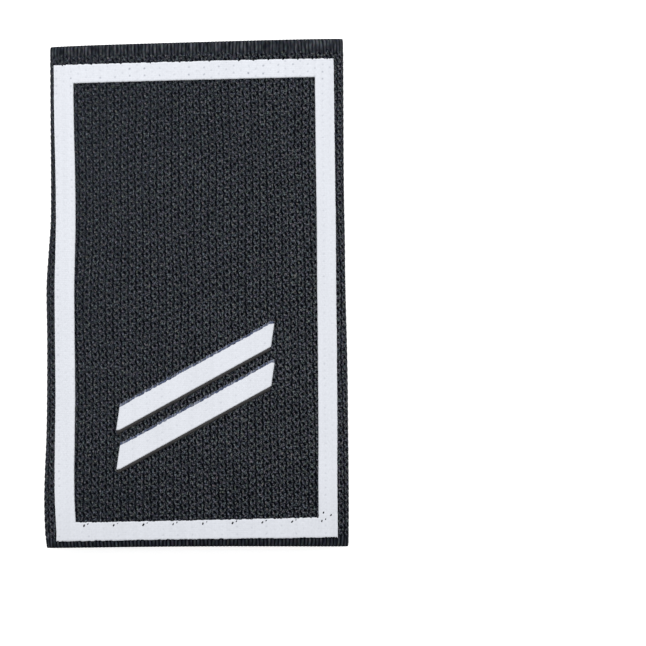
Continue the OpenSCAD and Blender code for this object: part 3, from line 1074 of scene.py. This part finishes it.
def black_weave_material(colours, form):
    """Blue-black bird's-eye weave that turns into ribs at the tube's ends and inside it."""
    material, net, shader, place, fibre = woven_material("Black Bird's-Eye Weave", BLACK_FINENESS)
    high = 0.0
    # The crowns add painted highlight to the tone where raised threads catch the light, and height to the
    # bump
    for number, (*shape, level) in enumerate(CROWNS):
        crown = loop_part(net, place, shape, number + 2.0)
        luck = net.times(net.math("POWER", crown["Random"], 3.0), *(level * part for part in CROWN_LUCK))
        high = net.math("MAXIMUM", net.times(crown["Mask"], luck), high)
    inputs = {"Place": place["Place"], "In Loop": place["In Loop"]}
    groove = net.group("Weave Groove", weave_groove_group, inputs)["Mask"]
    pit = loop_part(net, place, PIT, 1.0)
    # Pits and grooves darken the tone: painted shade, over the cloth's own black
    dark = net.math("MAXIMUM", groove, net.times(pit["Mask"], net.times(pit["Random"], *PIT_LUCK)))
    height = net.math("SUBTRACT", net.times(high, *THREAD_HEIGHT), dark)
    lit = net.math("MAXIMUM", net.times(dark, -1.0, 1.0), 0.0)
    tone = net.times(net.times(high, *THREAD_TONE), lit)

    across, along = net.split(place["Place"])
    from_crown = net.math("ABSOLUTE", net.math("SUBTRACT", net.math("FRACT", net.times(across, 2.0)), 0.5))
    rib = net.math("SUBTRACT", 1.0, net.math("POWER", net.times(from_crown, 2.0), 3.0))
    pitch = form.weave.loop_along
    growth = HEM_GROWTH / pitch / (form.sizes.sleeve_width / form.weave.loop_across)
    top = UV_MIDDLE * (1 + growth) + (form.half_length - form.weave.upper_hem - HEM_GROWTH / 2) / pitch
    low = UV_MIDDLE - (form.half_length - form.weave.lower_hem) / pitch
    end = (form.half_length - form.sizes.cloth / 2) / pitch
    uneven = net.times(fibre["Streaks"], 1.8, net.times(across, growth, along))
    ribbed = net.step(uneven, top + 0.6, top + 1.2)
    ribbed = net.math("MAXIMUM", ribbed, net.step(along, low + 0.2, low - 0.2))
    ribbed = net.math("MAXIMUM", ribbed, net.math("GREATER_THAN", across, UV_LOOPS / 2))
    height = net.mix(ribbed, height, rib)
    rib_tone = [net.step(along, low, low + RIB_CHANGE, *ends) for ends in (RIB_CONTRAST, RIB_BASE)]
    tone = net.mix(ribbed, tone, net.times(rib, *rib_tone))

    from_middle = net.math("ABSOLUTE", net.math("SUBTRACT", along, UV_MIDDLE))
    for factor in (
        net.mix(ribbed, net.times(fibre["Fibre"], *GRAIN), net.times(fibre["Strand"], *RIB_GRAIN)),
        net.times(fibre["Streaks"], *STREAKS),
        net.times(fibre["Mottle"], *MOTTLE),
        # Painted shade on the turned-in lips, where they curve away from the light
        net.step(from_middle, end + 0.2, end + 0.5, 1.0, LIP_PAINTED_SHADE),
        # Painted shade towards the lower end, where the light is weaker
        net.step(along, low, low + LOW_CHANGE, LOW_PAINTED_SHADE, 1.0),
    ):
        tone = net.times(tone, factor)
    # The tone's contrast, painted highlights and painted pit shade included, grows towards the lower right
    right, up = net.split(net.add("TexCoord")["Object"])
    crisp = net.times(up, CRISP_TO_TOP, net.times(right, CRISP_TO_RIGHT, CRISP_IN_MIDDLE))
    crisp = net.mix(ribbed, crisp, 1.0)
    tone = net.times(net.math("SUBTRACT", tone, MEAN_TONE), crisp, MEAN_TONE)
    ramp = net.tree.nodes.new("ShaderNodeValToRGB")
    net.fill(ramp, [(0, tone)])
    stops = [(0.0, colours.pit), (0.25, colours.shade), (0.5, colours.thread), (1.0, colours.glint)]
    elements = ramp.color_ramp.elements
    while len(elements) < len(stops):
        elements.new(0.5)
    for element, (position, colour) in zip(elements, stops):
        element.position = position
        element.color = opaque(colour)
    bumpy = net.math("ADD", height, net.times(fibre["Fibre"], 0.5))
    net.fill(shader, {
        "Base Color": net.shaded(ramp.outputs[0], fibre["Tint"]),
        "Normal": net.bump(bumpy, 0.8, 0.12 * MM),
    })
    shader.inputs["Roughness"].default_value = 0.75
    shader.inputs["Specular IOR Level"].default_value = 0.03
    shader.inputs["Sheen Weight"].default_value = 0.01
    shader.inputs["Sheen Roughness"].default_value = 0.45
    return material


def white_weave_material(colours):
    """Dense cool white weave with small dark tie points, greyer where its upper edge is frayed."""
    material, net, shader, place, fibre = woven_material("White Satin Weave", WHITE_FINENESS)
    dot = loop_part(net, place, DOT, 11.0, 0.95)
    column = net.split(place["Loop"])[0]
    every_second = net.times(net.math("MODULO", column, 2.0), 0.65, 0.35)
    luck = net.times(net.math("POWER", dot["Random"], 2.0), 0.45, 0.15)
    dark = net.times(dot["Mask"], net.times(net.times(luck, every_second), net.mark("tie")))
    shade = net.times(net.times(fibre["Streaks"], 0.10, 0.95), net.times(fibre["Fibre"], 0.22, 0.89))
    along = net.split(place["Place"])[1]
    # Painted shade: the white is a little darker towards the lower end, where the light is weaker
    shade = net.times(shade, net.step(along, 10.0, 20.0, 0.955, 1.0))
    dotted = net.mix_colours(dark, net.shaded(opaque(colours.white), shade), opaque(colours.dot))
    frayed = net.shaded(opaque(colours.fray), net.times(fibre["Fibre"], 6.0, -1.9))
    weft = net.math("SINE", net.times(along, 8 * math.pi))
    net.fill(shader, {
        "Base Color": net.mix_colours(net.mark("fray"), dotted, frayed),
        "Normal": net.bump(net.times(weft, 0.25, fibre["Fibre"]), 0.35, 0.05 * MM),
    })
    shader.inputs["Roughness"].default_value = 0.8
    shader.inputs["Specular IOR Level"].default_value = 0.15
    return material


def thread_material(name, colour):
    """Matt dark thread with finer strands along it."""
    material, net, shader = new_material(name)
    strands = net.noise(net.add("TexCoord")["Object"], 1.0, stretch=(900.0, 2500.0, 2500.0))[0]
    shaded = net.shaded(opaque(colour), net.times(strands, 1.2, 0.4))
    net.fill(shader, {"Base Color": shaded, "Normal": net.bump(strands, 0.5, 0.03 * MM)})
    shader.inputs["Roughness"].default_value = 0.6
    shader.inputs["Specular IOR Level"].default_value = 0.1
    return material


def select_only(*pieces):
    """Selects the pieces and makes the first one active."""
    bpy.ops.object.select_all(action="DESELECT")
    for piece in pieces:
        piece.select_set(True)
    bpy.context.view_layer.objects.active = pieces[0]


def lay_thread(places, radius):
    """A round thread through the places, as a closed mesh."""
    curve = bpy.data.curves.new("thread", "CURVE")
    curve.dimensions = "3D"
    curve.bevel_depth = radius
    curve.bevel_resolution = 2
    curve.use_fill_caps = True
    spline = curve.splines.new("POLY")
    spline.points.add(len(places) - 1)
    for point, place in zip(spline.points, places):
        point.co = (*place, 1.0)
    thread = bpy.data.objects.new("thread", curve)
    bpy.context.scene.collection.objects.link(thread)
    select_only(thread)
    bpy.ops.object.convert(target="MESH")
    bpy.ops.object.mode_set(mode="EDIT")
    bpy.ops.mesh.select_all(action="SELECT")
    bpy.ops.mesh.remove_doubles(threshold=radius / 100)
    bpy.ops.mesh.normals_make_consistent(inside=False)
    bpy.ops.object.mode_set(mode="OBJECT")
    bpy.ops.object.shade_smooth()
    return thread


def join_threads(name, threads, material):
    """Joins the threads into one piece at the origin."""
    select_only(*threads)
    bpy.ops.object.join()
    bpy.ops.object.transform_apply(location=True, rotation=True, scale=True)
    piece = threads[0]
    piece.name = piece.data.name = name
    piece.data.materials.clear()
    piece.data.materials.append(material)
    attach(piece, "root")
    return piece


def lay_edge_threads(form, material):
    """The smooth dark thread that closes the lower edge of each stripe."""
    sizes = form.sizes
    share = np.linspace(-0.495, 0.495, EDGE_THREAD_PLACES)
    threads = []
    for middle in form.stripe_middles():
        x = share * sizes.stripe_span - 0.5 * sizes.stripe_lean
        v = middle + share * sizes.stripe_climb - 0.5 * sizes.stripe_depth - EDGE_THREAD_BELOW
        threads.append(lay_thread(form.over_face(x, v, EDGE_THREAD_LIFT), EDGE_THREAD_RADIUS))
    return join_threads("edge_threads", threads, material)


def model_knot():
    """A flat knot of two turns of thread, at the origin with its long way across."""
    bpy.ops.object.select_all(action="DESELECT")
    bpy.ops.mesh.primitive_uv_sphere_add(segments=16, ring_count=10, radius=TIE_RADIUS)
    knot = bpy.context.object
    for vertex in knot.data.vertices:
        x, y, z = vertex.co
        waist = 1 - 0.18 * math.cos(math.pi * x / TIE_RADIUS / 2) ** 4
        vertex.co = (1.15 * x, 0.72 * waist * y, 0.42 * waist * z)
    bpy.ops.object.shade_smooth()
    return knot


def sew_ties(form, material):
    """Small dark ties on the frame's lower bar, each a knot with a smaller one beside it."""
    knot = model_knot()
    draw = np.random.default_rng(form.weave.seed + 40)
    bar_top = form.frame_low(form.sizes.cross_bar)
    knots = []
    for number in range(TIE_COUNT):
        x, v = FIRST_TIE + number * TIE_STEP, bar_top - TIE_INSET
        size = draw.uniform(*TIE_SIZES)
        across, along, share = SECOND_KNOT
        knots += [(x, v, size), (x + across, v + along, share * draw.uniform(*TIE_SIZES))]
    knots += [(x, v, 0.8) for x, v in CORNER_KNOTS]
    ties = []
    for x, v, size in knots:
        tie = knot.copy()
        tie.data = knot.data.copy()
        bpy.context.scene.collection.objects.link(tie)
        before, place, after = (form.over_face(x + step, v, form.sizes.raised) for step in (-MM, 0, MM))
        slope = math.atan2(after[2] - before[2], after[0] - before[0])
        tie.location = place
        tie.rotation_euler = (0, -slope, math.radians(draw.uniform(30, 75)))
        tie.scale = (size, size, size)
        ties.append(tie)
    bpy.data.objects.remove(knot)
    return join_threads("frame_ties", ties, material)


def floor_material(colours):
    """Matt white sweep with the faintest mottle, which glows a little like a light table."""
    material, net, shader = new_material("Pale Floor")
    mottle = net.noise(net.add("TexCoord")["Object"], 9.0)[0]
    darker = tuple(0.985 * channel for channel in colours.floor)
    net.fill(shader, {"Base Color": net.mix_colours(mottle, opaque(colours.floor), opaque(darker))})
    shader.inputs["Roughness"].default_value = 0.9
    shader.inputs["Specular IOR Level"].default_value = 0.1
    shader.inputs["Emission Color"].default_value = (1, 1, 1, 1)
    shader.inputs["Emission Strength"].default_value = 0.60
    return material


class RANKSLIDE_OT_sleeve(Operator):
    """Weave the black tube"""

    bl_idname = "rankslide.sleeve"
    bl_label = "Weave Sleeve"

    def execute(self, context):
        form = TubeForm(context.scene)
        build_sleeve(form, black_weave_material(context.scene.slide_colours, form))
        return {"FINISHED"}


class RANKSLIDE_OT_white(Operator):
    """Weave the white frame and the two stripes"""

    bl_idname = "rankslide.white"
    bl_label = "Weave Frame and Stripes"

    def execute(self, context):
        form = TubeForm(context.scene)
        material = white_weave_material(context.scene.slide_colours)
        build_border(form, material)
        for node, middle in zip(("upper_stripe", "lower_stripe"), form.stripe_middles()):
            build_stripe(form, material, node, middle)
        return {"FINISHED"}


class RANKSLIDE_OT_threads(Operator):
    """Lay the dark threads under the stripes and sew the ties on the frame"""

    bl_idname = "rankslide.threads"
    bl_label = "Sew Threads"

    def execute(self, context):
        form = TubeForm(context.scene)
        colours = context.scene.slide_colours
        edge_threads = lay_edge_threads(form, thread_material("Smooth Edge Thread", colours.piping))
        ties = sew_ties(form, thread_material("Dark Tie Thread", colours.shade))
        return {"FINISHED"}


class RANKSLIDE_OT_stage(Operator):
    """Set the floor, the soft light and the camera"""

    bl_idname = "rankslide.stage"
    bl_label = "Set Stage"

    def execute(self, context):
        scene = context.scene
        bpy.ops.object.select_all(action="DESELECT")
        bpy.ops.mesh.primitive_plane_add(size=3, location=(0, 0, 0))
        floor = context.object
        floor.name = "floor"
        floor.data.materials.append(floor_material(scene.slide_colours))

        world = bpy.data.worlds.new("soft_white_room")
        world.use_nodes = True
        background = world.node_tree.nodes["Background"]
        background.inputs[0].default_value = (1.0, 1.0, 1.0, 1.0)
        background.inputs[1].default_value = 0.66
        scene.world = world

        bpy.ops.object.light_add(type="AREA", location=(-0.03, 0.42, 0.50))
        key = context.object
        key.name = "soft_window"
        key.data.shape = "RECTANGLE"
        key.data.size = 0.5
        key.data.size_y = 0.4
        key.data.energy = 2.6
        key.rotation_euler = (math.radians(-40), math.radians(-2), 0)

        turn = math.radians(0.42)
        bpy.ops.object.camera_add(location=(0.02422, -0.00582, 0.9066), rotation=(0, 0, -turn))
        camera = context.object
        camera.name = "camera"
        camera.data.lens = 265.4
        camera.data.sensor_width = 36
        camera.data.clip_start = 0.05
        camera.data.clip_end = 20
        scene.camera = camera
        scene.view_settings.view_transform = "Standard"
        return {"FINISHED"}


class RANKSLIDE_PT_panel(Panel):
    """Sizes, colours and steps of the rank slide"""

    bl_label = "Rank Slide"
    bl_idname = "RANKSLIDE_PT_panel"
    bl_space_type = "VIEW_3D"
    bl_region_type = "UI"
    bl_category = "Rank Slide"

    def draw(self, context):
        layout = self.layout
        for group in (context.scene.slide_sizes, context.scene.weave_sizes, context.scene.slide_colours):
            box = layout.box()
            for name in group.__annotations__:
                box.prop(group, name)
        for step in (RANKSLIDE_OT_sleeve, RANKSLIDE_OT_white, RANKSLIDE_OT_threads, RANKSLIDE_OT_stage):
            layout.operator(step.bl_idname)


CLASSES = (
    SlideSizes,
    WeaveSizes,
    SlideColours,
    RANKSLIDE_OT_sleeve,
    RANKSLIDE_OT_white,
    RANKSLIDE_OT_threads,
    RANKSLIDE_OT_stage,
    RANKSLIDE_PT_panel,
)


def register():
    for cls in CLASSES:
        bpy.utils.register_class(cls)
    bpy.types.Scene.slide_sizes = PointerProperty(type=SlideSizes)
    bpy.types.Scene.weave_sizes = PointerProperty(type=WeaveSizes)
    bpy.types.Scene.slide_colours = PointerProperty(type=SlideColours)


def unregister():
    del bpy.types.Scene.slide_colours
    del bpy.types.Scene.weave_sizes
    del bpy.types.Scene.slide_sizes
    for cls in reversed(CLASSES):
        bpy.utils.unregister_class(cls)


def main():
    """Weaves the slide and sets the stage."""
    register()
    bpy.ops.rankslide.sleeve()
    bpy.ops.rankslide.white()
    bpy.ops.rankslide.threads()
    bpy.ops.rankslide.stage()


if __name__ == "__main__":
    main()
